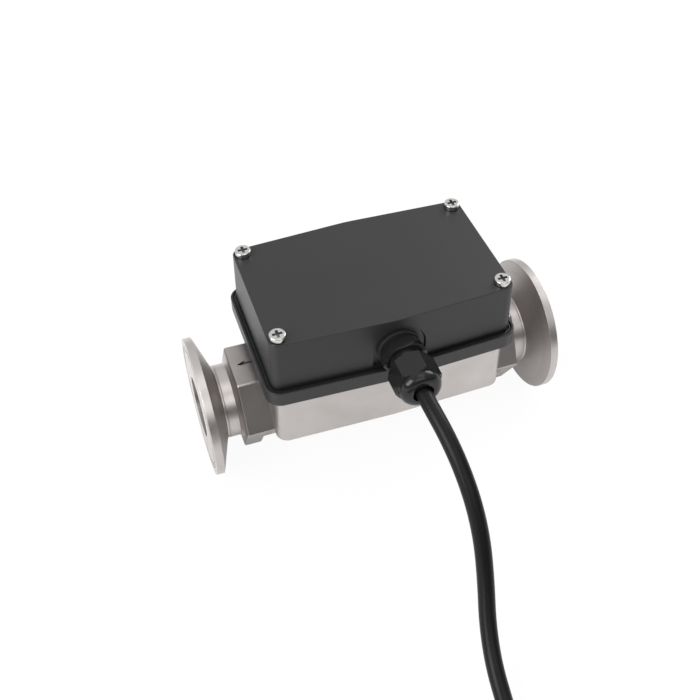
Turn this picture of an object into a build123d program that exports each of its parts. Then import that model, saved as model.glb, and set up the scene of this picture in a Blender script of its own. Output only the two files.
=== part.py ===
from build123d import *
import os
from math import pi, radians, sqrt, tan

# Turbine flow meter, millimetres. The flow axis is X. The origin is the centre of the
# outlet ferrule's face, +X points to the inlet, against the flow, +Z points to the
# electronics and the cable leaves towards -Y.

# Whole meter
FACE_TO_FACE = 130.5
MID_X = FACE_TO_FACE / 2
SEAT_GAP = 0.05          # radial clearance of pieces that are seated in a bore

# Clamp ferrules, for 25.4 mm sanitary tube
BORE_D = 22.1
FERRULE_OD = 50.5
FERRULE_RIM = 2.85
FERRULE_CONE_ANGLE = 20.0
FERRULE_EDGE_R = 0.15
NECK_D = 26.8
NECK_FILLET = 0.6
NECK_GROOVE_X = 8.0      # a fine turned line round the neck
NECK_GROOVE_R = 0.22
WELD_LEG = 1.2           # the weld that joins the neck to the hexagon
GASKET_GROOVE_D = 43.6
GASKET_GROOVE_R = 0.9
SPIGOT_D = 24.6
SPIGOT_LENGTH = 8.75

# Flow body: hexagonal ends, round barrel and the pedestal, cast and machined in one
BODY_BORE_D = 22.5
HEX_AF = 33.4
HEX_FACE_X = 13.0
HEX_FULL_LENGTH = 7.0
HEX_EDGE_R = 1.0
HEX_END_R = 0.8
BARREL_D = 32.4
PEDESTAL_LENGTH = 84.6
PEDESTAL_END_WIDTH = 48.9
PEDESTAL_BULGE = 1.05
PEDESTAL_CORNER_R = 4.2
PEDESTAL_BOTTOM_Z = -1.5
PEDESTAL_TOP_Z = 21.4
PEDESTAL_EDGE_R = 0.5
APEX_R = 60.0            # the long sides are shallow Vs with this radius at their middle
INNER_CORNER_R = 1.0
ARROW_LENGTH = 6.6
ARROW_HEAD = 3.0
ARROW_WIDTH = 2.6
ARROW_SHAFT = 0.9
ARROW_DEPTH = 0.9
ARROW_FROM_FACE = 2.5

# Rotor, its shaft, its two supports and the retaining rings
ROTOR_LENGTH = 15.0
ROTOR_HUB_D = 8.6
ROTOR_TIP_GAP = 0.35
BLADE_COUNT = 8
BLADE_THICKNESS = 0.8
BLADE_LENGTH = 13.0
BLADE_LEAD = 62.0
HUB_EDGE = 0.5
SHAFT_D = 2.0
SHAFT_IN_SUPPORT = 9.0
BEARING_OD = 4.0
BEARING_LENGTH = 3.0
BEARING_RUNNING_GAP = 0.03
ROTOR_END_GAP = 0.3
SUPPORT_LENGTH = 18.0
SUPPORT_RING_LENGTH = 4.0
SUPPORT_RING_WALL = 1.0
VANE_COUNT = 4
VANE_THICKNESS = 1.4
RING_WIDTH = 1.2
RING_DEPTH = 0.8
RING_WALL = 1.5
RING_OPENING = 40.0

# Pickup in the pedestal
PICKUP_D = 15.0
PICKUP_FLOOR = 1.6       # wall left between the bore and the pickup's pocket
PICKUP_PROUD = 1.5
BOBBIN_CORE_D = 6.0
BOBBIN_FLANGE = 1.2
POLE_D = 3.0
POLE_PROUD = 1.0
LEAD_D = 0.8
COIL_LEAD_SPACING = 7.0

# Cover
COVER_TOP_Z = 47.4
COVER_BOTTOM_Z = 28.6
COVER_LENGTH = 84.9
COVER_END_WIDTH = 49.2
COVER_BULGE = 1.85
COVER_DRAFT = 1.5
COVER_CORNER_R = 2.8
COVER_TOP_EDGE_R = 0.3
COVER_WALL = 2.2
COVER_TOP_WALL = 2.4
COVER_SCREW_X = 39.0     # half of the screws' spacing along the meter
COVER_SCREW_Y = 21.4
COVER_POST_R = 4.4
COUNTERBORE_D = 6.2
COUNTERBORE_DEPTH = 0.2

# Enclosure base
BASE_OVERHANG = 2.15     # from the cover's outline to the base's outline
BASE_BOTTOM_EDGE_R = 0.35
BASE_LIP_DROP = 0.5      # the lip's top is this much under the gasket's seat
BASE_LIP = 0.75
BASE_FLOOR = 2.5
GASKET_THICKNESS = 0.8
GASKET_SETBACK = 0.3
GASKET_WIDTH = 1.9
MOAT_DEPTH = 1.5
BEAD_FROM_COVER = 0.5
BEAD_WIDTH = 0.4
BEAD_HEIGHT = 1.2
BASE_WALL = 2.6

# Base gasket
BASE_GASKET_INSET = 8.0
BASE_GASKET_WIDTH = 2.0
BASE_GASKET_DEPTH = 1.2

# Screws
SCREW_D = 2.9
SCREW_HOLE_D = 3.0
SCREW_CLEAR_D = 3.4
SCREW_HEAD_D = 5.45
SCREW_HEAD_H = 2.3
SCREW_HEAD_ROUND = 0.16  # the rounding of the head's edge, as a share of its height
SCREW_GRIP = 9.0         # length of thread in the pedestal
HOLE_SPARE = 1.0         # a blind hole is this much deeper than its screw
BASE_SCREW_FROM_POST = 8.5
BASE_SCREW_Y = 11.5
RECESS_LENGTH = 3.4
RECESS_WIDTH = 1.0
RECESS_DEPTH = 1.2

# Cable gland, its axis parallel to -Y
GLAND_X = 0.9            # a little to the right of the middle
GLAND_Z = 33.9
NOTCH_R = 9.4            # the cover's notch is concentric with the gland
TAB_GAP = 0.3
TAB_FACE_Y = -25.6
TAB_THICKNESS = 3.0
GLAND_THREAD_D = 12.0
GLAND_HOLE_D = 12.4
WASHER_D = 15.0
WASHER_THICKNESS = 1.0
FLANGE_D = 14.2
FLANGE_THICKNESS = 1.1
BODY_HEX_AF = 13.5
BODY_HEX_LENGTH = 4.7
GLAND_NECK_D = 11.2
GLAND_NECK_LENGTH = 8.4
CLAW_LENGTH = 2.6
CLAW_WALL = 0.9
CLAW_COUNT = 6
CLAW_SLIT = 0.8
NUT_GAP = 3.1
NUT_HEX_AF = 14.3
NUT_HEX_LENGTH = 8.7
DOME_D = 14.4
DOME_LENGTH = 3.4
DOME_EDGE_R = 2.9
DOME_HOLE_D = 7.2
GLAND_BORE_D = 6.6
SEAL_D = 9.0
SEAL_LENGTH = 7.4
LOCK_NUT_AF = 16.0
LOCK_NUT_LENGTH = 4.0
GLAND_INNER_LENGTH = 5.6
HEX_CHAMFER = 0.8
BODY_HEX_TURN = 8.4      # each hexagon is tightened this far round from level
NUT_HEX_TURN = 14.8

# Circuit board and what is on it
BOARD_LENGTH = 66.0
BOARD_WIDTH = 31.0
BOARD_Y = 2.0
BOARD_THICKNESS = 1.6
BOARD_CORNER_R = 2.0
BOARD_STAND = 5.8        # from the base's floor to the board
POST_D = 6.0
BOARD_HOLE_INSET = 3.5
BOARD_SCREW_D = 1.9
BOARD_SCREW_CLEAR_D = 2.6
BOARD_SCREW_HEAD_D = 4.4
BOARD_SCREW_HEAD_H = 1.5
BOARD_SCREW_GRIP = 4.0
TERMINAL_WAYS = 3
TERMINAL_PITCH = 5.0
TERMINAL_DEPTH = 8.0
TERMINAL_HEIGHT = 9.0
TERMINAL_MOUTH = 2.6
TERMINAL_Y = -5.0
TERMINAL_SCREW_D = 3.0
TERMINAL_SCREW_SLOT = 1.0
CHIP_LENGTH = 12.8
CHIP_WIDTH = 7.5
CHIP_HEIGHT = 2.3
CHIP_STAND = 0.2
CHIP_LEGS = 9
CHIP_LEG_PITCH = 1.27
CHIP_FROM_END = 14.0
CHIP_Y = 6.0
CAPACITOR_D = 8.0
CAPACITOR_HEIGHT = 9.5
CAPACITOR_EDGE_R = 0.6
CAPACITOR_X = 18.0
CAPACITOR_Y = 8.0

# Cable
CABLE_D = 5.5
CABLE_JOIN_Y = -38.0     # inside the seal: the fixed stretch ends here and the free one starts
CONDUCTOR_D = 1.3
CONDUCTOR_SPACING = 1.55
FLOOR_Z = -FERRULE_OD / 2
LIE_Z = FLOOR_Z + CABLE_D / 2
# The free cable's route, from MID_X: out of the gland, down and along the floor
ROUTE = [
    (GLAND_X, CABLE_JOIN_Y, GLAND_Z),
    (GLAND_X, -49.5, GLAND_Z),
    (3.1, -65.5, 29.1),
    (4.8, -78.5, 19.7),
    (5.0, -88.5, 9.3),
    (3.4, -97.5, -1.5),
    (0.6, -107.0, -10.8),
    (-1.3, -117.5, -17.8),
    (-2.3, -129.0, -21.3),
    (-4.3, -141.5, LIE_Z),
    (-4.3, -153.5, LIE_Z),
]
COIL_Y = -177.0
COIL_TURN_R = 40.5       # centreline radius of the outermost turn, on the floor
COIL_FLOOR_TURNS = 4
COIL_TOP_TURNS = 2
COIL_LAYERS = 3
COIL_TAIL_X = 30.5       # from the coil's centre
COIL_TAIL_LENGTH = 18.0
FREE_LEAD_LENGTH = 24.0
TIE_WIDTH = 3.6
TIE_THICKNESS = 0.9


def axis_x(radius, x0, x1):
    """A cylinder on the flow axis from x0 to x1."""
    return Pos((x0 + x1) / 2, 0, 0) * Rot(0, 90, 0) * Cylinder(radius, abs(x1 - x0))


def upright(radius, x, y, z0, z1):
    """A vertical cylinder at x from MID_X."""
    return Pos(MID_X + x, y, (z0 + z1) / 2) * Cylinder(radius, z1 - z0)


def axis_gland(radius, y0, y1):
    """A cylinder on the gland's axis from y0 out to y1."""
    return Pos(MID_X + GLAND_X, (y0 + y1) / 2, GLAND_Z) * Rot(90, 0, 0) * Cylinder(radius, abs(y1 - y0))


def block(x, y, z0, size_x, size_y, size_z):
    """A box centred on x, y, measured from MID_X, that stands on z0."""
    return Pos(MID_X + x, y, z0 + size_z / 2) * Box(size_x, size_y, size_z)


def corners(x, y):
    """Four places, the same distance each side of the middle."""
    return [(x, y), (x, -y), (-x, y), (-x, -y)]


def v_plan(half_length, half_width, bulge, corner_r, grow=0.0):
    """A rectangle whose two long sides are shallow Vs, grown outwards by grow."""
    a = half_length + grow
    b = half_width + grow
    points = [(-a, -b), (0, -b - bulge), (a, -b), (a, b), (0, b + bulge), (-a, b)]
    face = make_face(Polyline(*points, close=True))
    face = fillet([v for v in face.vertices() if abs(v.X) > a / 2], max(corner_r + grow, INNER_CORNER_R))
    face = fillet([v for v in face.vertices() if abs(v.X) < a / 10], APEX_R)
    return Pos(MID_X, 0, 0) * face


def cover_plan(grow=0.0):
    """The cover's outline at its open rim."""
    drafted = (COVER_TOP_Z - COVER_BOTTOM_Z) * tan(radians(COVER_DRAFT))
    return v_plan(COVER_LENGTH / 2, COVER_END_WIDTH / 2, COVER_BULGE, COVER_CORNER_R, drafted + grow)


def prism(face, z0, z1, taper=0.0):
    """A flat face extruded from z0 to z1."""
    return extrude(Pos(0, 0, z0) * face, amount=z1 - z0, taper=taper)


def hexagon(across_flats, edge_r):
    """A hexagon with a flat at the top, its corners rounded."""
    sketch = RegularPolygon(across_flats / 2, 6, major_radius=False)
    return fillet(sketch.vertices(), edge_r)


def gland_hex(across_flats, turn, y0, y1):
    """A hexagonal prism on the gland's axis with chamfered corners."""
    plane = Plane(origin=(MID_X + GLAND_X, y0, GLAND_Z), x_dir=(1, 0, 0), z_dir=(0, -1, 0))
    body = extrude(plane * Rot(0, 0, turn) * hexagon(across_flats, HEX_CHAMFER / 4), amount=y0 - y1)
    corner_r = across_flats / sqrt(3)
    limit = axis_gland(corner_r, y0, y1)
    limit = chamfer(limit.edges().filter_by(GeomType.CIRCLE), HEX_CHAMFER)
    return body & limit


def put(shape, node):
    """Writes one piece and keeps it for the printed summary."""
    shape.label = node
    export_step(shape, "parts/" + node + ".step")
    print(node, round(shape.volume, 2))


os.makedirs("parts", exist_ok=True)

BORE_R = BORE_D / 2
BODY_BORE_R = BODY_BORE_D / 2
BASE_SCREW_X = BOARD_LENGTH / 2 - BOARD_HOLE_INSET - BASE_SCREW_FROM_POST
GASKET_Z = COVER_BOTTOM_Z - GASKET_THICKNESS
FLOOR_TOP_Z = PEDESTAL_TOP_Z + BASE_FLOOR


# Ferrules
def ferrule():
    rim_r = FERRULE_OD / 2
    neck_r = NECK_D / 2
    cone_x = FERRULE_RIM + (rim_r - neck_r) * tan(radians(FERRULE_CONE_ANGLE))
    end_x = HEX_FACE_X + SPIGOT_LENGTH
    profile = make_face(
        Polyline(
            (0, BORE_R),
            (0, rim_r),
            (FERRULE_RIM, rim_r),
            (cone_x, neck_r),
            (HEX_FACE_X - WELD_LEG, neck_r),
            (HEX_FACE_X, neck_r + WELD_LEG),
            (HEX_FACE_X, SPIGOT_D / 2),
            (end_x, SPIGOT_D / 2),
            (end_x, BORE_R),
            close=True,
        )
    )
    rim_corners = [v for v in profile.vertices() if v.Y > rim_r - SEAT_GAP]
    profile = fillet(rim_corners, FERRULE_EDGE_R)
    root = [v for v in profile.vertices() if abs(v.X - cone_x) < SEAT_GAP]
    profile = fillet(root, NECK_FILLET)
    profile -= Pos(0, GASKET_GROOVE_D / 2) * Circle(GASKET_GROOVE_R)
    profile -= Pos(NECK_GROOVE_X, neck_r) * Circle(NECK_GROOVE_R)
    return revolve(profile, axis=Axis.X)


across_middle = Plane(origin=(MID_X, 0, 0), z_dir=(1, 0, 0))
outlet_ferrule = ferrule()
put(outlet_ferrule, "outlet_ferrule")
put(mirror(outlet_ferrule, about=across_middle), "inlet_ferrule")

# Places of the turning parts along the axis, counted from the middle
rotor_end = ROTOR_LENGTH / 2
support_near = rotor_end + ROTOR_END_GAP
support_far = support_near + SUPPORT_LENGTH
pocket_z = BODY_BORE_R + PICKUP_FLOOR


# Flow body
def hex_end():
    start = Plane(origin=(HEX_FACE_X, 0, 0), x_dir=(0, 1, 0), z_dir=(1, 0, 0))
    inner_x = MID_X - PEDESTAL_LENGTH / 2 + PEDESTAL_CORNER_R
    face = start * hexagon(HEX_AF, HEX_EDGE_R)
    collar = extrude(face, amount=HEX_FULL_LENGTH)
    full = extrude(face, amount=inner_x - HEX_FACE_X)
    collar = fillet(collar.faces().sort_by(Axis.X)[0].edges(), HEX_END_R)
    collar = chamfer(collar.faces().sort_by(Axis.X)[-1].edges(), HEX_END_R)
    full = fillet(full.faces().sort_by(Axis.X)[0].edges(), HEX_END_R)
    upper = full & (Pos(MID_X / 2, 0, HEX_AF / 2) * Box(MID_X, HEX_AF * 2, HEX_AF))
    return collar + upper


def flow_arrow():
    """The flow arrow on top of the outlet end. Its tip points out of the meter."""
    tip = HEX_FACE_X + ARROW_FROM_FACE
    neck = tip + ARROW_HEAD
    tail = tip + ARROW_LENGTH
    half = ARROW_WIDTH / 2
    bar = ARROW_SHAFT / 2
    points = [(tail, -bar), (neck, -bar), (neck, -half), (tip, 0), (neck, half), (neck, bar), (tail, bar)]
    face = make_face(Polyline(*points, close=True))
    return prism(face, HEX_AF / 2 - ARROW_DEPTH, HEX_AF / 2 + ARROW_DEPTH)


pedestal = prism(
    v_plan(PEDESTAL_LENGTH / 2, PEDESTAL_END_WIDTH / 2, PEDESTAL_BULGE, PEDESTAL_CORNER_R),
    PEDESTAL_BOTTOM_Z,
    PEDESTAL_TOP_Z,
)
pedestal = fillet(pedestal.faces().sort_by(Axis.Z)[0].edges(), PEDESTAL_EDGE_R)
outlet_hex = hex_end()
barrel_x = HEX_FACE_X + HEX_FULL_LENGTH / 2
flow_body = pedestal + axis_x(BARREL_D / 2, barrel_x, FACE_TO_FACE - barrel_x)
flow_body = flow_body + outlet_hex + mirror(outlet_hex, about=across_middle)
flow_body -= axis_x(BODY_BORE_R, 0, FACE_TO_FACE)
spigot_end = HEX_FACE_X + SPIGOT_LENGTH
socket_r = SPIGOT_D / 2 + SEAT_GAP
flow_body -= axis_x(socket_r, 0, spigot_end)
flow_body -= axis_x(socket_r, FACE_TO_FACE - spigot_end, FACE_TO_FACE)
for side in (-1, 1):
    near = MID_X + side * support_far
    flow_body -= axis_x(BODY_BORE_R + RING_DEPTH, near, near + side * RING_WIDTH)
flow_body -= upright(PICKUP_D / 2 + SEAT_GAP, 0, 0, pocket_z, PEDESTAL_TOP_Z + 1)
hole_bottom = PEDESTAL_TOP_Z - SCREW_GRIP - HOLE_SPARE
for x, y in corners(COVER_SCREW_X, COVER_SCREW_Y) + corners(BASE_SCREW_X, BASE_SCREW_Y):
    flow_body -= upright(SCREW_HOLE_D / 2, x, y, hole_bottom, PEDESTAL_TOP_Z + 1)
gasket_outer = -BASE_GASKET_INSET
gasket_inner = gasket_outer - BASE_GASKET_WIDTH
gasket_groove = prism(cover_plan(gasket_outer), PEDESTAL_TOP_Z - BASE_GASKET_DEPTH, PEDESTAL_TOP_Z)
gasket_groove -= prism(cover_plan(gasket_inner), PEDESTAL_TOP_Z - BASE_GASKET_DEPTH, PEDESTAL_TOP_Z)
flow_body -= gasket_groove
flow_body -= flow_arrow()
put(flow_body, "flow_body")
put(gasket_groove, "base_gasket")


# Rotor supports, their vanes straighten the flow and their hubs carry the shaft
def support():
    """The outlet support. Its hub has a round nose away from the rotor."""
    hub_r = ROTOR_HUB_D / 2
    far = MID_X - support_far
    near = MID_X - support_near
    hub = axis_x(hub_r, far + VANE_THICKNESS, near)
    nose = hub.edges().filter_by(GeomType.CIRCLE).sort_by(Axis.X)[0]
    hub = fillet(nose, hub_r * 0.9)
    ring_r = BODY_BORE_R - SEAT_GAP
    ring = axis_x(ring_r, far, far + SUPPORT_RING_LENGTH)
    ring -= axis_x(ring_r - SUPPORT_RING_WALL, far, far + SUPPORT_RING_LENGTH)
    vane_from = far + SUPPORT_RING_LENGTH / 4
    vane_to = near - VANE_THICKNESS
    vane_r = ring_r - SEAT_GAP
    vane = Pos((vane_from + vane_to) / 2, 0, (hub_r / 2 + vane_r) / 2)
    vane = vane * Box(vane_to - vane_from, VANE_THICKNESS, vane_r - hub_r / 2)
    body = hub + ring
    for i in range(VANE_COUNT):
        body += Rot(360 / VANE_COUNT * i + 45, 0, 0) * vane
    return body - axis_x(SHAFT_D / 2, near - SHAFT_IN_SUPPORT, near)


def retaining_ring():
    """A flat spring ring in its groove, open at the bottom."""
    outer = BODY_BORE_R + RING_DEPTH - SEAT_GAP
    start = MID_X - support_far - RING_WIDTH
    middle = Pos(start + RING_WIDTH / 2, outer - RING_WALL / 2)
    profile = middle * Rectangle(RING_WIDTH - SEAT_GAP, RING_WALL)
    ring = revolve(profile, axis=Axis.X, revolution_arc=360 - RING_OPENING)
    return Rot(RING_OPENING / 2 - 90, 0, 0) * ring


outlet_support = support()
put(outlet_support, "outlet_support")
put(mirror(outlet_support, about=across_middle), "inlet_support")
outlet_ring = retaining_ring()
put(outlet_ring, "outlet_retaining_ring")
put(mirror(outlet_ring, about=across_middle), "inlet_retaining_ring")

# Shaft, its ends held in the two supports
shaft_end = support_near + SHAFT_IN_SUPPORT
put(axis_x(SHAFT_D / 2, MID_X - shaft_end, MID_X + shaft_end), "rotor_shaft")

# Bearings, pressed into the rotor's ends and turning on the shaft
bearing = axis_x(BEARING_OD / 2, MID_X - rotor_end, MID_X - rotor_end + BEARING_LENGTH)
bearing -= axis_x(SHAFT_D / 2 + BEARING_RUNNING_GAP, MID_X - rotor_end, MID_X - rotor_end + BEARING_LENGTH)
put(bearing, "outlet_bearing")
put(mirror(bearing, about=across_middle), "inlet_bearing")


# Rotor with helical blades
def rotor():
    hub_r = ROTOR_HUB_D / 2
    hub = axis_x(hub_r, MID_X - rotor_end, MID_X + rotor_end)
    hub = chamfer(hub.edges().filter_by(GeomType.CIRCLE), HUB_EDGE)
    tip_r = BODY_BORE_R - ROTOR_TIP_GAP
    root_r = hub_r - BLADE_THICKNESS
    start = Plane(origin=(MID_X - BLADE_LENGTH / 2, 0, 0), x_dir=(0, 1, 0), z_dir=(1, 0, 0))
    section = start * (Pos((root_r + tip_r) / 2, 0) * Rectangle(tip_r - root_r, BLADE_THICKNESS))
    blade = Solid.extrude_linear_with_rotation(
        section.face(),
        center=start.origin,
        normal=Vector(BLADE_LENGTH, 0, 0),
        angle=360 * BLADE_LENGTH / BLADE_LEAD,
    )
    body = hub
    for i in range(BLADE_COUNT):
        body += Rot(360 / BLADE_COUNT * i, 0, 0) * blade
    body -= axis_x(BEARING_OD / 2, MID_X - rotor_end, MID_X - rotor_end + BEARING_LENGTH)
    body -= axis_x(BEARING_OD / 2, MID_X + rotor_end - BEARING_LENGTH, MID_X + rotor_end)
    return body - axis_x(SHAFT_D / 2 + 4 * BEARING_RUNNING_GAP, MID_X - rotor_end, MID_X + rotor_end)


put(rotor(), "rotor")

# Pickup coil: a bobbin, its winding and the steel pole that points at the rotor
pickup_top = PEDESTAL_TOP_Z + PICKUP_PROUD
winding_bottom = pocket_z + BOBBIN_FLANGE
winding_top = pickup_top - BOBBIN_FLANGE
bobbin = upright(PICKUP_D / 2, 0, 0, pocket_z, winding_bottom)
bobbin += upright(PICKUP_D / 2, 0, 0, winding_top, pickup_top)
bobbin += upright(BOBBIN_CORE_D / 2, 0, 0, pocket_z, pickup_top)
put(bobbin - upright(POLE_D / 2, 0, 0, pocket_z, pickup_top), "coil_bobbin")
winding = upright(PICKUP_D / 2 - BOBBIN_FLANGE / 2, 0, 0, winding_bottom, winding_top)
put(winding - upright(BOBBIN_CORE_D / 2, 0, 0, winding_bottom, winding_top), "coil_winding")
put(upright(POLE_D / 2, 0, 0, pocket_z, pickup_top + POLE_PROUD), "pickup_pole")

# Enclosure base with its moat, bead, posts and the tab that carries the gland
base_lip_z = GASKET_Z - BASE_LIP_DROP
moat_z = base_lip_z - MOAT_DEPTH
base = prism(cover_plan(BASE_OVERHANG), PEDESTAL_TOP_Z, base_lip_z)
base = fillet(base.faces().sort_by(Axis.Z)[0].edges(), BASE_BOTTOM_EDGE_R)
base = fillet(base.faces().sort_by(Axis.Z)[-1].edges(), BASE_LIP / 3)
base -= prism(cover_plan(BASE_OVERHANG - BASE_LIP), moat_z, base_lip_z)
base += prism(cover_plan(-GASKET_SETBACK), moat_z, GASKET_Z)
bead = prism(cover_plan(BEAD_FROM_COVER + BEAD_WIDTH), moat_z, moat_z + BEAD_HEIGHT)
base += bead - prism(cover_plan(BEAD_FROM_COVER), moat_z, moat_z + BEAD_HEIGHT)
base_room = prism(cover_plan(-BASE_WALL), FLOOR_TOP_Z, GASKET_Z)
post_room = prism(cover_plan(-GASKET_SETBACK), FLOOR_TOP_Z, GASKET_Z)
base -= base_room
for x, y in corners(COVER_SCREW_X, COVER_SCREW_Y):
    base += upright(COVER_POST_R, x, y, FLOOR_TOP_Z, GASKET_Z) & post_room
board_z = FLOOR_TOP_Z + BOARD_STAND
board_holes = corners(BOARD_LENGTH / 2 - BOARD_HOLE_INSET, BOARD_WIDTH / 2 - BOARD_HOLE_INSET)
for x, y in board_holes:
    base += upright(POST_D / 2, x, BOARD_Y + y, FLOOR_TOP_Z, board_z)
tab_back_y = TAB_FACE_Y + TAB_THICKNESS
tab_r = NOTCH_R - TAB_GAP
tab = axis_gland(tab_r, TAB_FACE_Y, tab_back_y)
tab_y = (TAB_FACE_Y + tab_back_y) / 2
tab += block(GLAND_X, tab_y, PEDESTAL_TOP_Z, 2 * tab_r, TAB_THICKNESS, GLAND_Z - PEDESTAL_TOP_Z)
base_front_y = TAB_FACE_Y - WASHER_THICKNESS - FLANGE_THICKNESS - BODY_HEX_LENGTH
base -= axis_gland(BODY_HEX_AF / sqrt(3) + TAB_GAP, base_front_y, TAB_FACE_Y)
base += tab
base -= axis_gland(GLAND_HOLE_D / 2, TAB_FACE_Y, tab_back_y)
base -= upright(PICKUP_D / 2 + TAB_GAP, 0, 0, PEDESTAL_TOP_Z, FLOOR_TOP_Z)
for x, y in corners(COVER_SCREW_X, COVER_SCREW_Y):
    base -= upright(SCREW_CLEAR_D / 2, x, y, PEDESTAL_TOP_Z, GASKET_Z)
for x, y in corners(BASE_SCREW_X, BASE_SCREW_Y):
    base -= upright(SCREW_CLEAR_D / 2, x, y, PEDESTAL_TOP_Z, FLOOR_TOP_Z)
for x, y in board_holes:
    base -= upright(BOARD_SCREW_D / 2, x, BOARD_Y + y, board_z - BOARD_SCREW_GRIP - HOLE_SPARE, board_z)
put(base, "enclosure_base")

# Cover gasket, open where the gland's tab stands
cover_gasket = prism(cover_plan(-GASKET_SETBACK), GASKET_Z, COVER_BOTTOM_Z)
cover_gasket -= prism(cover_plan(-GASKET_SETBACK - GASKET_WIDTH), GASKET_Z, COVER_BOTTOM_Z)
cover_gasket -= block(GLAND_X, TAB_FACE_Y, GASKET_Z, 2 * NOTCH_R, 4 * TAB_THICKNESS, GASKET_THICKNESS)
put(cover_gasket, "cover_gasket")

# Cover
cover = prism(cover_plan(), COVER_BOTTOM_Z, COVER_TOP_Z, COVER_DRAFT)
cover = fillet(cover.faces().sort_by(Axis.Z)[-1].edges(), COVER_TOP_EDGE_R)
cover_outside = cover
room_top = COVER_TOP_Z - COVER_TOP_WALL
cover -= prism(cover_plan(-COVER_WALL), COVER_BOTTOM_Z, room_top, COVER_DRAFT)
for x, y in corners(COVER_SCREW_X, COVER_SCREW_Y):
    cover += upright(COVER_POST_R, x, y, COVER_BOTTOM_Z, room_top) & cover_outside
for x, y in corners(COVER_SCREW_X, COVER_SCREW_Y):
    cover -= upright(SCREW_CLEAR_D / 2, x, y, COVER_BOTTOM_Z, COVER_TOP_Z)
    cover -= upright(COUNTERBORE_D / 2, x, y, COVER_TOP_Z - COUNTERBORE_DEPTH, COVER_TOP_Z)
notch_from = TAB_FACE_Y - 2 * COVER_WALL
notch_to = TAB_FACE_Y + 2 * COVER_WALL
cover -= axis_gland(NOTCH_R, notch_from, notch_to)
cover -= block(GLAND_X, TAB_FACE_Y, COVER_BOTTOM_Z, 2 * NOTCH_R, 4 * COVER_WALL, GLAND_Z - COVER_BOTTOM_Z)
put(cover, "cover")


# Screws with pan heads and a cross recess
def pan_screw(x, y, seat_z, end_z, head_d, head_h, shank_d, recess):
    """A screw whose head sits on seat_z and whose shank ends at end_z."""
    head = upright(head_d / 2, x, y, seat_z, seat_z + head_h)
    head = fillet(head.faces().sort_by(Axis.Z)[-1].edges(), head_h * SCREW_HEAD_ROUND)
    screw = head + upright(shank_d / 2, x, y, end_z, seat_z)
    recess_z = seat_z + head_h - recess
    long_side = RECESS_LENGTH * head_d / SCREW_HEAD_D
    short_side = RECESS_WIDTH * head_d / SCREW_HEAD_D
    screw -= block(x, y, recess_z, long_side, short_side, recess)
    return screw - block(x, y, recess_z, short_side, long_side, recess)


screw_end = PEDESTAL_TOP_Z - SCREW_GRIP
for i, (x, y) in enumerate(corners(COVER_SCREW_X, COVER_SCREW_Y)):
    seat = COVER_TOP_Z - COUNTERBORE_DEPTH
    put(
        pan_screw(x, y, seat, screw_end, SCREW_HEAD_D, SCREW_HEAD_H, SCREW_D, RECESS_DEPTH),
        "cover_screw_" + str(i + 1),
    )
for i, (x, y) in enumerate(corners(BASE_SCREW_X, BASE_SCREW_Y)):
    put(
        pan_screw(x, y, FLOOR_TOP_Z, screw_end, SCREW_HEAD_D, SCREW_HEAD_H, SCREW_D, RECESS_DEPTH),
        "base_screw_" + str(i + 1),
    )

# Circuit board and its screws
board_top = board_z + BOARD_THICKNESS
board = block(0, BOARD_Y, board_z, BOARD_LENGTH, BOARD_WIDTH, BOARD_THICKNESS)
board = fillet(board.edges().filter_by(Axis.Z), BOARD_CORNER_R)
for x, y in board_holes:
    board -= upright(BOARD_SCREW_CLEAR_D / 2, x, BOARD_Y + y, board_z, board_top)
lead_hole_r = LEAD_D / 2 + 2 * SEAT_GAP
for side in (-1, 1):
    board -= upright(lead_hole_r, side * COIL_LEAD_SPACING / 2, BOARD_Y, board_z, board_top)
put(board, "circuit_board")
for i, (x, y) in enumerate(board_holes):
    put(
        pan_screw(
            x,
            BOARD_Y + y,
            board_top,
            board_z - BOARD_SCREW_GRIP,
            BOARD_SCREW_HEAD_D,
            BOARD_SCREW_HEAD_H,
            BOARD_SCREW_D - 2 * SEAT_GAP,
            BOARD_SCREW_HEAD_H / 2,
        ),
        "board_screw_" + str(i + 1),
    )

# Coil leads, from the bobbin's top up to the board
for side, node in ((-1, "coil_lead_1"), (1, "coil_lead_2")):
    x = side * COIL_LEAD_SPACING / 2
    rise = board_z - pickup_top
    path = FilletPolyline(
        (MID_X + x, 0, pickup_top),
        (MID_X + x, 0, pickup_top + rise / 3),
        (MID_X + x, BOARD_Y, pickup_top + rise * 2 / 3),
        (MID_X + x, BOARD_Y, board_top),
        radius=LEAD_D,
    )
    start = Plane(origin=(MID_X + x, 0, pickup_top), z_dir=(0, 0, 1))
    put(sweep(start * Circle(LEAD_D / 2), path=path), node)

# Terminal block, one mouth and one clamping screw for each conductor
terminal_length = TERMINAL_WAYS * TERMINAL_PITCH
terminal_y = BOARD_Y + TERMINAL_Y
mouth_z = board_top + TERMINAL_MOUTH
terminal = block(0, terminal_y, board_top, terminal_length, TERMINAL_DEPTH, TERMINAL_HEIGHT)
terminal = chamfer(terminal.faces().sort_by(Axis.Z)[-1].edges().filter_by(Axis.X), TERMINAL_HEIGHT / 9)
terminal_front = terminal_y - TERMINAL_DEPTH / 2
ways = [(i - (TERMINAL_WAYS - 1) / 2) * TERMINAL_PITCH for i in range(TERMINAL_WAYS)]
for x in ways:
    mouth_bottom = mouth_z - TERMINAL_MOUTH / 2
    terminal -= block(x, terminal_front, mouth_bottom, TERMINAL_MOUTH, TERMINAL_DEPTH, TERMINAL_MOUTH)
    screw_r = TERMINAL_SCREW_D / 2 + SEAT_GAP
    terminal -= upright(screw_r, x, terminal_y, mouth_z + TERMINAL_MOUTH, board_top + TERMINAL_HEIGHT)
put(terminal, "terminal_block")
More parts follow.
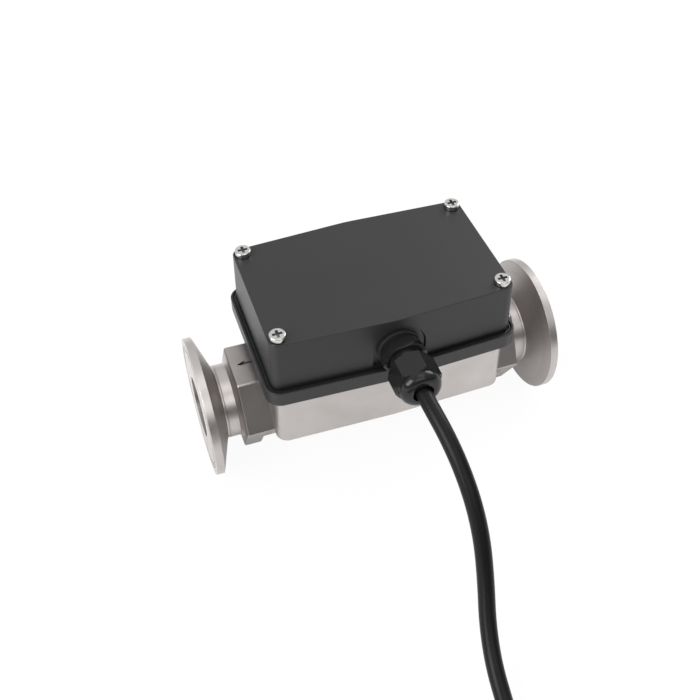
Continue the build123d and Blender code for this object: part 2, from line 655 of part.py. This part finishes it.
for i, x in enumerate(ways):
    top = board_top + TERMINAL_HEIGHT - TERMINAL_SCREW_SLOT
    slot_z = top - TERMINAL_SCREW_SLOT
    clamp = upright(TERMINAL_SCREW_D / 2, x, terminal_y, mouth_z + TERMINAL_MOUTH, top)
    clamp -= block(x, terminal_y, slot_z, TERMINAL_SCREW_D, TERMINAL_SCREW_D / 5, TERMINAL_SCREW_SLOT)
    put(clamp, "terminal_screw_" + str(i + 1))

# Chip with its legs
chip_x = CHIP_FROM_END - BOARD_LENGTH / 2
chip_y = BOARD_Y + CHIP_Y
chip_bottom = board_top + CHIP_STAND
chip_middle = chip_bottom + CHIP_HEIGHT / 2
leg_w = CHIP_LEG_PITCH / 3
chip = block(chip_x, chip_y, chip_bottom, CHIP_LENGTH, CHIP_WIDTH, CHIP_HEIGHT)
for i in range(CHIP_LEGS):
    leg_x = chip_x + (i - (CHIP_LEGS - 1) / 2) * CHIP_LEG_PITCH
    for side in (-1, 1):
        shoulder_y = chip_y + side * (CHIP_WIDTH / 2 + leg_w)
        chip += block(leg_x, shoulder_y, chip_middle, leg_w, 2 * leg_w, leg_w)
        foot_y = shoulder_y + side * leg_w
        chip += block(leg_x, foot_y, board_top, leg_w, leg_w, chip_middle + leg_w - board_top)
put(chip, "measuring_chip")

# Smoothing capacitor
capacitor_top = board_top + CAPACITOR_HEIGHT
capacitor = upright(CAPACITOR_D / 2, CAPACITOR_X, BOARD_Y + CAPACITOR_Y, board_top, capacitor_top)
put(fillet(capacitor.edges().filter_by(GeomType.CIRCLE), CAPACITOR_EDGE_R), "smoothing_capacitor")

# Cable gland. Every face is counted outwards from the tab's face, towards -Y.
flange_y = TAB_FACE_Y - WASHER_THICKNESS
body_hex_y = flange_y - FLANGE_THICKNESS
neck_y = body_hex_y - BODY_HEX_LENGTH
nut_y = neck_y - NUT_GAP
dome_y = nut_y - NUT_HEX_LENGTH
tip_y = dome_y - DOME_LENGTH
inner_y = tab_back_y + GLAND_INNER_LENGTH
neck_end_y = neck_y - GLAND_NECK_LENGTH
claw_end_y = neck_end_y - CLAW_LENGTH
seal_end_y = claw_end_y
seal_start_y = seal_end_y + SEAL_LENGTH

washer = axis_gland(WASHER_D / 2, TAB_FACE_Y, flange_y)
put(washer - axis_gland(GLAND_HOLE_D / 2, TAB_FACE_Y, flange_y), "gland_washer")

gland_body = axis_gland(GLAND_THREAD_D / 2, inner_y, flange_y)
gland_body += axis_gland(FLANGE_D / 2, flange_y, body_hex_y)
gland_body += gland_hex(BODY_HEX_AF, BODY_HEX_TURN, body_hex_y, neck_y)
gland_body += axis_gland(GLAND_NECK_D / 2, neck_y, neck_end_y)
claw_r = SEAL_D / 2 + CLAW_WALL
claws = axis_gland(claw_r, neck_end_y, claw_end_y)
for i in range(CLAW_COUNT // 2):
    slit = Box(2 * GLAND_NECK_D, 2 * CLAW_LENGTH, CLAW_SLIT)
    claws -= Pos(MID_X + GLAND_X, claw_end_y, GLAND_Z) * Rot(0, 360 / CLAW_COUNT * i, 0) * slit
gland_body += claws
gland_body -= axis_gland(GLAND_BORE_D / 2, inner_y, seal_start_y)
gland_body -= axis_gland(SEAL_D / 2 + SEAT_GAP, seal_start_y, claw_end_y)
put(gland_body, "gland_body")

seal = axis_gland(SEAL_D / 2, seal_start_y, seal_end_y)
put(seal - axis_gland(CABLE_D / 2 + SEAT_GAP, seal_start_y, seal_end_y), "gland_seal")

dome = axis_gland(DOME_D / 2, dome_y + HEX_CHAMFER, tip_y)
dome = fillet(dome.edges().filter_by(GeomType.CIRCLE).sort_by(Axis.Y)[0], DOME_EDGE_R)
dome_nut = gland_hex(NUT_HEX_AF, NUT_HEX_TURN, nut_y, dome_y) + dome
dome_nut -= axis_gland(GLAND_NECK_D / 2 + 2 * SEAT_GAP, nut_y, claw_end_y)
dome_nut -= axis_gland(DOME_HOLE_D / 2, claw_end_y, tip_y)
put(dome_nut, "gland_dome_nut")

lock_nut_y = tab_back_y + LOCK_NUT_LENGTH
lock_nut = gland_hex(LOCK_NUT_AF, BODY_HEX_TURN, lock_nut_y, tab_back_y)
put(lock_nut - axis_gland(GLAND_THREAD_D / 2 + SEAT_GAP, lock_nut_y, tab_back_y), "gland_lock_nut")

# Fixed stretch of the cable, from inside the seal to the board
board_edge_y = BOARD_Y - BOARD_WIDTH / 2
entry_end_y = board_edge_y - 1
put(axis_gland(CABLE_D / 2, CABLE_JOIN_Y, entry_end_y), "cable_entry")
for i, x in enumerate(ways):
    x_start = GLAND_X + (i - (TERMINAL_WAYS - 1) / 2) * CONDUCTOR_SPACING
    points = [
        (x_start, entry_end_y, GLAND_Z),
        (x_start, entry_end_y + CONDUCTOR_D, GLAND_Z),
        (x, terminal_front - CONDUCTOR_D, mouth_z),
        (x, terminal_front + TERMINAL_DEPTH / 3, mouth_z),
    ]
    path = FilletPolyline(*[(MID_X + px, py, pz) for px, py, pz in points], radius=CONDUCTOR_D / 2)
    start = Plane(origin=path @ 0, z_dir=path % 0)
    put(sweep(start * Circle(CONDUCTOR_D / 2), path=path), "conductor_" + str(i + 1))

# Free cable: a tube along its route, with an arc at each bend as large as its runs allow
route = [Vector(MID_X + x, y, z) for x, y, z in ROUTE]
radii = []
for before, here, after in zip(route, route[1:], route[2:]):
    turn = (here - before).get_angle(after - here)
    shorter = min((here - before).length, (after - here).length)
    radii.append(0.45 * shorter / tan(radians(turn) / 2))
    print("turn", round(turn, 1), "radius", round(radii[-1], 1), "of", CABLE_D)
cable_path = FilletPolyline(*route, radius=radii)
start = Plane(origin=route[0], z_dir=route[1] - route[0])
cable = sweep(start * Circle(CABLE_D / 2), path=cable_path)
tube_volume = cable_path.length * pi * CABLE_D**2 / 4
print("cable tube length", round(cable_path.length, 1), "volume ratio", round(cable.volume / tube_volume, 4))
put(cable, "cable_tube")

# Coil of the rest of the cable, lying on the floor: a ring with sloping sides
layer_rise = CABLE_D * sqrt(3) / 2
coil_x = MID_X + ROUTE[-1][0] - COIL_TURN_R
outer_r = COIL_TURN_R + CABLE_D / 2
inner_r = outer_r - COIL_FLOOR_TURNS * CABLE_D
step_in = (COIL_FLOOR_TURNS - COIL_TOP_TURNS) * CABLE_D / 2
top_z = FLOOR_Z + CABLE_D + (COIL_LAYERS - 1) * layer_rise
section = make_face(
    Polyline(
        (inner_r, FLOOR_Z),
        (outer_r, FLOOR_Z),
        (outer_r, FLOOR_Z + CABLE_D),
        (outer_r - step_in, top_z),
        (inner_r + step_in, top_z),
        (inner_r, FLOOR_Z + CABLE_D),
        close=True,
    )
)
section = fillet(section.vertices(), CABLE_D / 4)
coil = Pos(coil_x, COIL_Y, 0) * revolve(Plane.XZ * section, axis=Axis.Z)
way_in = Pos(MID_X + ROUTE[-1][0], (ROUTE[-1][1] + COIL_Y) / 2, LIE_Z)
coil += way_in * Rot(90, 0, 0) * Cylinder(CABLE_D / 2, ROUTE[-1][1] - COIL_Y)
tail_x = coil_x + COIL_TAIL_X
tail_z = LIE_Z + COIL_LAYERS * layer_rise
tail_start_y = COIL_Y + (COIL_TAIL_LENGTH + FREE_LEAD_LENGTH) / 2
tail_end_y = tail_start_y - COIL_TAIL_LENGTH
tail = Pos(tail_x, (tail_start_y + tail_end_y) / 2, tail_z) * Rot(90, 0, 0)
coil += tail * Cylinder(CABLE_D / 2, COIL_TAIL_LENGTH)

# Tie round the coil's far side, flush with the floor underneath
tie_plane = Plane(origin=(coil_x, COIL_Y - TIE_WIDTH / 2, 0), x_dir=(-1, 0, 0), z_dir=(0, 1, 0))
tie_outside = tie_plane * offset(section, TIE_THICKNESS)
above_floor = Pos(coil_x - outer_r, COIL_Y, FLOOR_Z + outer_r / 2) * Box(outer_r, outer_r, outer_r)
tie_band = extrude(tie_outside, amount=TIE_WIDTH) & above_floor
over_tie = Pos(outer_r, FLOOR_Z + TIE_THICKNESS + outer_r / 2) * Rectangle(outer_r, outer_r)
tie = tie_band - extrude(tie_plane * (section & over_tie), amount=TIE_WIDTH)
put(tie, "coil_tie")
put(coil - tie, "cable_coil")

# Bare leads at the cable's far end
for i in range(TERMINAL_WAYS):
    x = tail_x + (i - (TERMINAL_WAYS - 1) / 2) * CONDUCTOR_SPACING
    lead = Pos(x, tail_end_y - FREE_LEAD_LENGTH / 2, tail_z) * Rot(90, 0, 0)
    put(lead * Cylinder(CONDUCTOR_D / 2, FREE_LEAD_LENGTH), "lead_wire_" + str(i + 1))
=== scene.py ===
from math import cos, pi, radians, sin, sqrt

import bmesh
import bpy
from mathutils import Matrix, Vector


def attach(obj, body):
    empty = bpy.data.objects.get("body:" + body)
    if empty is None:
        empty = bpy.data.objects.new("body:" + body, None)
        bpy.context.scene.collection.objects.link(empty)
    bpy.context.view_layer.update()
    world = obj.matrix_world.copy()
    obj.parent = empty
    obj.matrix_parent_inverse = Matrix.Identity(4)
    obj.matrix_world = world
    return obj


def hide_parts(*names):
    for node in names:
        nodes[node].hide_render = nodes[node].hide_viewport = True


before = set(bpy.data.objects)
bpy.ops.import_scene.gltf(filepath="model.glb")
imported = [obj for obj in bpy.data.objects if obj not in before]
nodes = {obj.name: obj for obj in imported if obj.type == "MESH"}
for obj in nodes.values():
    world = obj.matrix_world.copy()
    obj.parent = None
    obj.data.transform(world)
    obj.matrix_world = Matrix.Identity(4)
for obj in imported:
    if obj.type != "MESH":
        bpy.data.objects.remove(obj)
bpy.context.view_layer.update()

# Flow body
# Cast stainless steel, machined on the hexagons and fine bead-blasted all over, which leaves
# a soft grey satin. The walls at the back edge of the flow arrow's head, cut into the outlet
# end, are coloured black and not metal, as painted shade.
MID_X = 0.06525
PEDESTAL_HALF = 0.0425
ARROW_HEAD_X = (0.015, 0.01845)
ARROW_HEAD_SIDE = 0.0015
ARROW_FLOOR_Z = 0.0158
HEX_TOP_Z = 0.0167
SKIN = 0.00006


class Signal:
    """A value that varies over a surface: one output socket, with arithmetic on it."""

    def __init__(self, socket):
        self.socket = socket

    def joined(self, operation, first, second):
        tree = self.socket.node.id_data
        node = tree.nodes.new("ShaderNodeMath")
        node.operation = operation
        for slot, value in zip(node.inputs, (first, second)):
            if isinstance(value, Signal):
                tree.links.new(value.socket, slot)
            else:
                slot.default_value = value
        return Signal(node.outputs[0])

    def __add__(self, other):
        return self.joined("ADD", self, other)

    def __sub__(self, other):
        return self.joined("SUBTRACT", self, other)

    def __rsub__(self, other):
        return self.joined("SUBTRACT", other, self)

    def __mul__(self, other):
        return self.joined("MULTIPLY", self, other)

    def __pow__(self, other):
        return self.joined("POWER", self, other)

    def __abs__(self):
        return self.joined("ABSOLUTE", self, 0)

    def __gt__(self, other):
        return self.joined("GREATER_THAN", self, other)

    def __lt__(self, other):
        return self.joined("LESS_THAN", self, other)

    __radd__ = __add__
    __rmul__ = __mul__


class NodeTree:
    """The nodes of a material or of the sky, added one at a time."""

    def __init__(self, tree):
        self.tree = tree

    def feed(self, node, sockets):
        """Sets each named input of a node, or links it to a signal."""
        for key, value in sockets.items():
            if isinstance(value, Signal):
                self.tree.links.new(value.socket, node.inputs[key])
            else:
                node.inputs[key].default_value = value

    def node(self, kind, settings, sockets, output=0):
        """Adds a node: its settings first, then its inputs."""
        node = self.tree.nodes.new("ShaderNode" + kind)
        for key, value in settings.items():
            if key == "stops":
                for element, (place, color) in zip(node.color_ramp.elements, value):
                    element.position = place
                    element.color = color
            else:
                setattr(node, key, value)
        self.feed(node, sockets)
        return Signal(node.outputs[output])

    def axes(self, place):
        """The place's three coordinates."""
        split = self.node("SeparateXYZ", {}, {"Vector": place}).socket.node
        return [Signal(socket) for socket in split.outputs]

    def seen(self):
        """Two signals: 1 for what the camera sees, and 1 for what a shiny surface mirrors."""
        rays = self.node("LightPath", {}, {}).socket.node.outputs
        to_camera = Signal(rays["Is Camera Ray"]) + Signal(rays["Is Transmission Ray"])
        return to_camera, Signal(rays["Is Glossy Ray"])


class Finish(NodeTree):
    """A material that starts from its constant values."""

    def __init__(self, name, constants):
        self.material = bpy.data.materials.new(name)
        self.material.use_nodes = True
        super().__init__(self.material.node_tree)
        self.shader = self.tree.nodes["Principled BSDF"]
        self.feed(self.shader, constants)

    def place(self):
        return self.node("TexCoord", {}, {}, "Object")

    def scaled(self, color, factor):
        """A colour made lighter or darker by a signal."""
        return self.node("VectorMath", {"operation": "SCALE"}, {"Vector": color, "Scale": factor})

    def noise(self, vector, size, detail=2.0):
        """Soft noise whose blotches are about size metres across."""
        sockets = {"Vector": vector, "Scale": 1 / size, "Detail": detail}
        return self.node("TexNoise", {}, sockets, "Fac")

    def tones(self, signal, dark, light):
        """A colour between dark and light, by the signal."""
        stops = ((0.3, (*dark, 1)), (0.7, (*light, 1)))
        return self.node("ValToRGB", {"stops": stops}, {"Fac": signal}, "Color")

    def bump(self, height, depth):
        """Relief of the given depth in metres."""
        return self.node("Bump", {}, {"Height": height, "Distance": depth, "Strength": 1.0}, "Normal")

    def surface(self, **varying):
        """Links what varies: color, roughness, normal or metallic."""
        names = {"color": "Base Color", "roughness": "Roughness", "normal": "Normal", "metallic": "Metallic"}
        self.feed(self.shader, {names[key]: signal for key, signal in varying.items()})
        return self.material


def coat_node(name, material):
    """Gives a CAD node its material in every slot."""
    mesh = nodes[name].data
    if not mesh.materials:
        mesh.materials.append(material)
    for slot in range(len(mesh.materials)):
        mesh.materials[slot] = material


def blasted_steel():
    """Satin steel, darker on the machined hexagons, with painted shade in black at the arrow head's back
    edge.
    """
    finish = Finish("blasted_steel", {})
    place = finish.place()
    pits = finish.noise(place, 0.00035, 3.0)
    cloud = finish.noise(place, 0.012)
    across, side, up = finish.axes(place)
    machined = abs(across - MID_X) > PEDESTAL_HALF
    # Painted shade: the walls at the back edge of the arrow head are made black and not metal.
    arrow_back_shade = (across > ARROW_HEAD_X[0]) * (across < ARROW_HEAD_X[1])
    arrow_back_shade = arrow_back_shade * (side > SKIN) * (side < ARROW_HEAD_SIDE)
    arrow_back_shade = arrow_back_shade * (up > ARROW_FLOOR_Z + SKIN) * (up < HEX_TOP_Z - SKIN)
    tones = finish.tones(cloud, (0.47, 0.440, 0.425), (0.53, 0.499, 0.485))
    return finish.surface(
        color=finish.scaled(tones, 1 - 0.20 * machined - 0.78 * arrow_back_shade),
        metallic=1 - arrow_back_shade,
        roughness=0.27 + 0.14 * pits,
        normal=finish.bump(pits, 0.00002),
    )


coat_node("flow_body", blasted_steel())

# Clamp ferrules
# Turned from stainless bar, so every face carries fine rings about the flow axis. The cones
# behind the rims are left rougher, and their colour is darkened as painted shade. The spigots
# are welded into the hexagons.
CONE_FROM_MIDDLE = (0.0582, 0.06235)


def turned_steel(name, color, roughness):
    """Steel with fine lathe rings about the flow axis."""
    finish = Finish(name, {"Metallic": 1.0})
    place = finish.place()
    across, side, up = finish.axes(place)
    radius = (side * side + up * up) ** 0.5
    lathe = finish.node("CombineXYZ", {}, {"X": across, "Y": radius})
    rings = finish.noise(lathe, 0.00022, 1.0)
    bands = finish.noise(lathe, 0.0025, 2.0)
    light = tuple(min(1.0, channel * 1.08) for channel in color)
    from_middle = abs(across - MID_X)
    cone = (from_middle > CONE_FROM_MIDDLE[0]) * (from_middle < CONE_FROM_MIDDLE[1])
    return finish.surface(
        # Painted shade: the cones' colour is made darker.
        color=finish.scaled(finish.tones(bands, color, light), 1 - 0.12 * cone),
        roughness=roughness + 0.14 * rings + 0.14 * cone,
        normal=finish.bump(rings, 0.00002),
    )


lathe_finish = turned_steel("turned_steel", (0.49, 0.460, 0.447), 0.28)
coat_node("inlet_ferrule", lathe_finish)
coat_node("outlet_ferrule", lathe_finish)

# Rotor, supports, bearings and rings
# The rotor and its two supports are machined steel, the shaft is polished, the bearings are
# hard white plastic and each snap ring is spring steel. They sit inside the bore.
rotor_finish = turned_steel("rotor_steel", (0.60, 0.59, 0.57), 0.2)
for name in ("rotor", "inlet_support", "outlet_support"):
    coat_node(name, rotor_finish)
ring_finish = turned_steel("spring_steel", (0.36, 0.36, 0.37), 0.3)
for name in ("inlet_retaining_ring", "outlet_retaining_ring"):
    coat_node(name, ring_finish)
coat_node("rotor_shaft", turned_steel("shaft_steel", (0.74, 0.74, 0.74), 0.08))


def plain_plastic(name, color, roughness, grain=0.0003, specular=0.5):
    """Moulded plastic or rubber with a faint grain."""
    finish = Finish(name, {"IOR": 1.5, "Specular IOR Level": specular})
    place = finish.place()
    speckle = finish.noise(place, grain, 3.0)
    cloud = finish.noise(place, 0.02)
    light = tuple(min(1.0, channel * 1.15 + 0.002) for channel in color)
    return finish.surface(
        color=finish.tones(cloud, color, light),
        roughness=roughness + 0.08 * speckle,
        normal=finish.bump(speckle, 0.00001),
    )


bearing_finish = plain_plastic("bearing_plastic", (0.80, 0.79, 0.74), 0.3)
for name in ("inlet_bearing", "outlet_bearing"):
    coat_node(name, bearing_finish)

# Pickup coil
# A plastic bobbin wound with enamelled copper wire, in a pocket of the pedestal. Its steel pole
# points at the rotor's blades, and its two leads rise to holes in the board.
WINDING_WAVE_SCALE = 125.0
coat_node("coil_bobbin", plain_plastic("bobbin_plastic", (0.10, 0.10, 0.10), 0.4))
coat_node("pickup_pole", turned_steel("pole_iron", (0.42, 0.42, 0.43), 0.25))
winding_finish = Finish("winding_copper", {"Metallic": 1.0, "Coat Weight": 0.6})
winding_place = winding_finish.place()
winding_bands = winding_finish.node(
    "TexWave",
    {"wave_type": "BANDS", "bands_direction": "Z", "wave_profile": "SIN"},
    {"Vector": winding_place, "Scale": WINDING_WAVE_SCALE, "Distortion": 0.3},
    "Fac",
)
winding_copper = winding_finish.surface(
    color=winding_finish.tones(winding_bands, (0.42, 0.14, 0.05), (0.85, 0.40, 0.20)),
    roughness=0.25 + 0.2 * winding_bands,
    normal=winding_finish.bump(winding_bands, 0.00008),
)
for name in ("coil_winding", "coil_lead_1", "coil_lead_2"):
    coat_node(name, winding_copper)

# Enclosure
# The base and the cover are moulded in black plastic with a fine spark-eroded texture, which
# turns light into a wide soft sheen.


def moulded_black():
    """Black plastic with a fine even grain."""
    finish = Finish("cover_plastic", {"IOR": 1.52, "Specular IOR Level": 0.41})
    place = finish.place()
    grain = finish.noise(place, 0.00028, 4.0)
    cloud = finish.noise(place, 0.03)
    return finish.surface(
        color=finish.tones(cloud, (0.0135, 0.0135, 0.014), (0.01485, 0.01485, 0.0154)),
        roughness=0.38 + 0.10 * grain,
        normal=finish.bump(grain, 0.000025),
    )


cover_plastic = moulded_black()
coat_node("enclosure_base", cover_plastic)
coat_node("cover", cover_plastic)

# Seals
# Black nitrile rubber: the cover's gasket, the seal ring under the base, the gland's washer
# and the sleeve that grips the cable.
rubber = plain_plastic("seal_rubber", (0.018, 0.018, 0.018), 0.6)
for name in ("cover_gasket", "base_gasket", "gland_washer", "gland_seal"):
    coat_node(name, rubber)

# Screws
# Pan-head machine screws, bright zinc plated. The cross recess of the four that hold the cover
# is rougher, and darkened by painted shade.
COVER_SCREW_X = 0.0390
COVER_SCREW_Y = 0.0214
COVER_SCREW_TOP_Z = 0.0495
RECESS_R = 0.0018


def plated_steel():
    """Bright plating, rougher and darkened by painted shade in the recesses of the cover's screws."""
    finish = Finish("plated_steel", {"Metallic": 1.0})
    place = finish.place()
    haze = finish.noise(place, 0.0015, 2.0)
    across, side, up = finish.axes(place)
    from_screw_x = abs(across - MID_X) - COVER_SCREW_X
    from_screw_y = abs(side) - COVER_SCREW_Y
    # Painted shade: the cross recesses of the cover's screws are made darker.
    recess_shade = from_screw_x * from_screw_x + from_screw_y * from_screw_y < RECESS_R**2
    recess_shade = recess_shade * (up < COVER_SCREW_TOP_Z - SKIN)
    tones = finish.tones(haze, (0.54, 0.535, 0.52), (0.60, 0.595, 0.58))
    return finish.surface(
        color=finish.scaled(tones, 1 - 0.5 * recess_shade),
        roughness=0.17 + 0.05 * haze + 0.3 * recess_shade,
    )


zinc = plated_steel()
for group, count in (("cover_screw_", 4), ("base_screw_", 4), ("board_screw_", 4), ("terminal_screw_", 3)):
    for number in range(count):
        coat_node(group + str(number + 1), zinc)

# Circuit board
# Green laminate that carries a moulded terminal block, a chip and a capacitor in a can. It is
# screwed to four posts of the base, under the cover.
coat_node("circuit_board", plain_plastic("board_laminate", (0.02, 0.16, 0.07), 0.3))
coat_node("terminal_block", plain_plastic("terminal_plastic", (0.02, 0.22, 0.10), 0.4))
coat_node("measuring_chip", plain_plastic("chip_plastic", (0.03, 0.03, 0.03), 0.5))
coat_node("smoothing_capacitor", turned_steel("capacitor_can", (0.55, 0.55, 0.57), 0.3))

# Cable gland
# Black nylon with a semi-gloss skin. A lock nut inside holds the hexagonal body in the base's
# tab, and the domed nut is screwed on the body and squeezes the sleeve round the cable.
gland_nylon = plain_plastic("gland_nylon", (0.009, 0.009, 0.0093), 0.11, 0.0008, 0.28)
for name in ("gland_body", "gland_dome_nut", "gland_lock_nut"):
    coat_node(name, gland_nylon)

# Cable
# A three-core lead in black PVC, 5.5 mm across. It leaves the gland, drops to the floor and
# the rest of its length is wound into a neat coil.
CABLE_D = 0.0055
FLOOR_Z = -0.02525
CABLE_LIE_Z = FLOOR_Z + CABLE_D / 2
GLAND_X = MID_X + 0.0009
GLAND_Z = 0.0339
cable_route = [
    (GLAND_X, -0.0380, GLAND_Z),
    (GLAND_X, -0.0495, GLAND_Z),
    (MID_X + 0.0031, -0.0655, 0.0291),
    (MID_X + 0.0048, -0.0785, 0.0197),
    (MID_X + 0.0050, -0.0885, 0.0093),
    (MID_X + 0.0034, -0.0975, -0.0015),
    (MID_X + 0.0006, -0.1070, -0.0108),
    (MID_X - 0.0013, -0.1175, -0.0178),
    (MID_X - 0.0023, -0.1290, -0.0213),
    (MID_X - 0.0043, -0.1415, CABLE_LIE_Z),
    (MID_X - 0.0043, -0.1535, CABLE_LIE_Z),
]
COIL_R = 0.0405
COIL_X = cable_route[-1][0] - COIL_R
COIL_Y = -0.177
LAYER_RISE = CABLE_D * sqrt(3) / 2
POINTS_A_TURN = 24
# Each turn's radius and the layer it lies in, in the order they are wound.
coil_turns = [
    (COIL_R, 0), (0.0350, 0), (0.0295, 0), (0.0240, 0),
    (0.02675, 1), (0.03225, 1), (0.03775, 1),
    (0.0350, 2), (0.0295, 2),
]
# The last turn ends in a tail that lies on top and points away from the meter.
TAIL_LAYER = 3
TAIL_TURN = (0.0295, TAIL_LAYER)
TAIL_CENTRE = (COIL_X + 0.0045, COIL_Y + 0.003)
TAIL_R = 0.026
TAIL_STEPS = 6
# A turn moves over to the next one in its last quarter. The last turn climbs earlier, and its
# last quarter is left out.
LAST_QUARTER = 0.75
CLIMB_FROM = 0.3
CLIMB_SHARE = 0.4


def coil_points():
    """The coil's centreline, clockwise from above, then its tail."""
    points = []
    for (radius, layer), (next_radius, next_layer) in zip(coil_turns, coil_turns[1:] + [TAIL_TURN]):
        last = next_layer == TAIL_LAYER
        for step in range(POINTS_A_TURN):
            share = step / POINTS_A_TURN
            change = max(0.0, (share - LAST_QUARTER) / (1 - LAST_QUARTER))
            if last:
                change = min(1.0, max(0.0, (share - CLIMB_FROM) / CLIMB_SHARE))
            if last and share > LAST_QUARTER:
                break
            angle = -2 * pi * share
            here = radius + (next_radius - radius) * change
            rise = (layer + (next_layer - layer) * change) * LAYER_RISE
            points.append((COIL_X + here * cos(angle), COIL_Y + here * sin(angle), CABLE_LIE_Z + rise))
    for step in range(1, TAIL_STEPS + 1):
        angle = pi / 2 * (1 - step / TAIL_STEPS)
        x = TAIL_CENTRE[0] + TAIL_R * cos(angle)
        y = TAIL_CENTRE[1] + TAIL_R * sin(angle)
        points.append((x, y, CABLE_LIE_Z + TAIL_LAYER * LAYER_RISE))
    return points


def cord_curve(name, points, diameter, material):
    """A round cord along a smooth spline."""
    curve = bpy.data.curves.new(name, "CURVE")
    curve.dimensions = "3D"
    curve.bevel_depth = diameter / 2
    curve.bevel_resolution = 6
    curve.resolution_u = 6
    curve.use_fill_caps = True
    spline = curve.splines.new("NURBS")
    spline.points.add(len(points) - 1)
    for point, place in zip(spline.points, points):
        point.co = (*place, 1)
    spline.order_u = 3
    spline.use_endpoint_u = True
    curve.materials.append(material)
    cord = bpy.data.objects.new(name, curve)
    bpy.context.scene.collection.objects.link(cord)
    return cord


cable_sheath = plain_plastic("cable_sheath", (0.004, 0.004, 0.0042), 0.33, 0.0005, 0.17)
coat_node("cable_entry", cable_sheath)
cable = cord_curve("cable", cable_route + coil_points(), CABLE_D, cable_sheath)
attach(cable, "housing")
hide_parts("cable_tube", "cable_coil")
tie_finish = plain_plastic("tie_nylon", (0.02, 0.02, 0.02), 0.35)
coat_node("coil_tie", tie_finish)
lead_colors = [(0.55, 0.02, 0.015), (0.015, 0.015, 0.015), (0.75, 0.75, 0.72)]
for number, color in enumerate(lead_colors):
    insulation = plain_plastic("insulation_" + str(number + 1), color, 0.35)
    coat_node("lead_wire_" + str(number + 1), insulation)
    coat_node("conductor_" + str(number + 1), insulation)

# Floor and background
# A plain pale floor. The camera sees it as white with a trace of the meter's shadow, and metal
# that mirrors it sees a quarter of that white. The camera sees the room round it as white too.
FLOOR_HALF = 4.0
FLOOR_WHITE = 0.94
FLOOR_IN_METAL = 0.25
floor_mesh = bpy.data.meshes.new("floor")
shape = bmesh.new()
bmesh.ops.create_grid(shape, x_segments=1, y_segments=1, size=FLOOR_HALF)
bmesh.ops.translate(shape, verts=shape.verts, vec=(0, 0, FLOOR_Z))
shape.to_mesh(floor_mesh)
shape.free()
floor = bpy.data.objects.new("floor", floor_mesh)
bpy.context.scene.collection.objects.link(floor)


def studio_floor():
    """Matt grey to the lamps, and nearly white to the camera."""
    finish = Finish("studio_floor", {"Base Color": (0.86, 0.86, 0.86, 1), "Roughness": 0.9})
    to_camera, to_metal = finish.seen()
    share = (to_camera + FLOOR_IN_METAL * to_metal) * FLOOR_WHITE
    grey = Signal(finish.shader.outputs[0])
    white = finish.node("Emission", {}, {})
    mixed = finish.node("MixShader", {}, {0: share, 1: grey, 2: white})
    finish.feed(finish.tree.nodes["Material Output"], {"Surface": mixed})
    return finish.material


floor_mesh.materials.append(studio_floor())

world = bpy.data.worlds.new("studio")
world.use_nodes = True
bpy.context.scene.world = world
sky = NodeTree(world.node_tree)
sky_seen = sky.seen()[0]
sky_back, sky_up = sky.axes(sky.node("TexCoord", {}, {}, "Generated"))[1:]
# The room is darkest low in front and brightest above and behind.
SKY_LEVEL = 0.32
SKY_RISE_UP = 0.54
SKY_RISE_BACK = 0.38
sky_glow = SKY_LEVEL + SKY_RISE_UP * sky_up + SKY_RISE_BACK * sky_back
sky_strength = sky_glow + (1 - sky_glow) * sky_seen
sky.feed(sky.tree.nodes["Background"], {"Color": (1, 1, 1, 1), "Strength": sky_strength})

# Lamps
# Large soft boxes: the main one from the upper left, one in front, a weak one overhead and one
# behind on the right.
MIDDLE = (MID_X, 0, 0.01)


def soft_box(name, place, width, height, power):
    """A rectangular lamp that faces the meter's middle."""
    lamp = bpy.data.lights.new(name, "AREA")
    lamp.shape = "RECTANGLE"
    lamp.size = width
    lamp.size_y = height
    lamp.energy = power
    box = bpy.data.objects.new(name, lamp)
    box.location = place
    box.rotation_euler = (Vector(MIDDLE) - Vector(place)).to_track_quat("-Z", "Y").to_euler()
    bpy.context.scene.collection.objects.link(box)


soft_box("left_box", (-0.75, -0.25, 0.55), 0.7, 0.6, 9)
soft_box("front_box", (0.1, -0.75, 0.75), 0.8, 0.5, 1.9)
soft_box("overhead_box", (0.26, -0.12, 1.05), 0.6, 0.6, 1.4)
soft_box("right_box", (0.8, 0.35, 0.5), 0.5, 0.5, 3.6)

# Camera
# A normal lens that looks down at the meter from the front, a little to the left, and is
# rolled by half a degree.
CAMERA_AZIMUTH = radians(-18.72)
CAMERA_ELEVATION = radians(46.69)
CAMERA_ROLL = radians(-0.52)
CAMERA_DISTANCE = 0.35335
CAMERA_TARGET = (MID_X - 0.00761, 0, 0.00959)
LENS_MM = 49.57
SENSOR_MM = 36
turn = Matrix.Rotation(CAMERA_AZIMUTH, 4, "Z") @ Matrix.Rotation(pi / 2 - CAMERA_ELEVATION, 4, "X")
turn = turn @ Matrix.Rotation(CAMERA_ROLL, 4, "Z")
lens = bpy.data.cameras.new("camera")
lens.sensor_fit = "HORIZONTAL"
lens.sensor_width = SENSOR_MM
lens.lens = LENS_MM
camera = bpy.data.objects.new("camera", lens)
camera.matrix_world = Matrix.Translation(CAMERA_TARGET) @ turn @ Matrix.Translation((0, 0, CAMERA_DISTANCE))
bpy.context.scene.collection.objects.link(camera)
bpy.context.scene.camera = camera
bpy.context.scene.view_settings.view_transform = "Standard"
